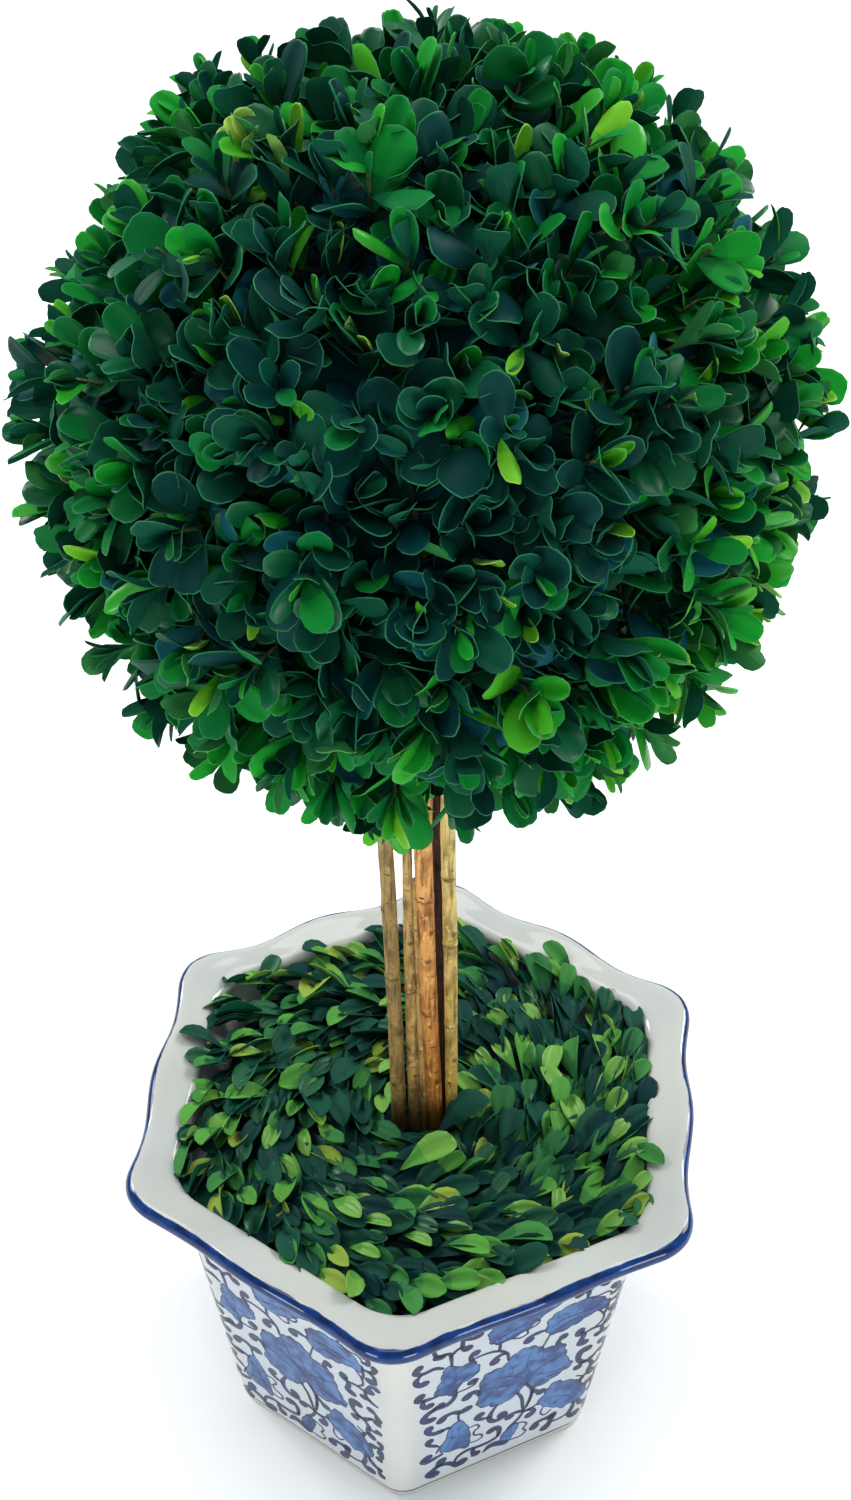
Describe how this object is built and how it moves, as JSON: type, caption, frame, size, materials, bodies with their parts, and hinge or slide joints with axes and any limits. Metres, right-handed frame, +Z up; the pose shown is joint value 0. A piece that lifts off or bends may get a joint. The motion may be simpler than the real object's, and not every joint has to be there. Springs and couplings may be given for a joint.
{
  "type": "potted box topiary ball",
  "caption": "Clipped ball of box leaves on a bundle of straight stems in a filled six-sided glazed planter with a broad waved lip.",
  "frame": {"origin": "middle of the planter's flat underside", "axes": "+Z up along the stems, one corner of the planter towards -Y"},
  "size_m": [0.2277, 0.2301, 0.5415],
  "materials": {
    "porcelain": "glossy warm white glaze with hand-painted cobalt scroll panels and a blue lip edge",
    "planting_foam": "dark dry planting foam, hidden under the leaves",
    "bed_leaves": "dried soft green leaves with light and dark ones mixed",
    "bark": "thin dry bark, tan to orange brown, with rings and small knots",
    "box_leaves": "smooth leathery deep green leaves with a low sheen"
  },
  "bodies": {
    "root": {"planter": "porcelain", "planting_block": "planting_foam", "leaf_bed": "bed_leaves", "stem_left": "bark", "stem_thin": "bark", "stem_middle": "bark", "stem_right": "bark", "stem_back": "bark", "foliage_ball": "box_leaves"}
  },
  "joints": []
}
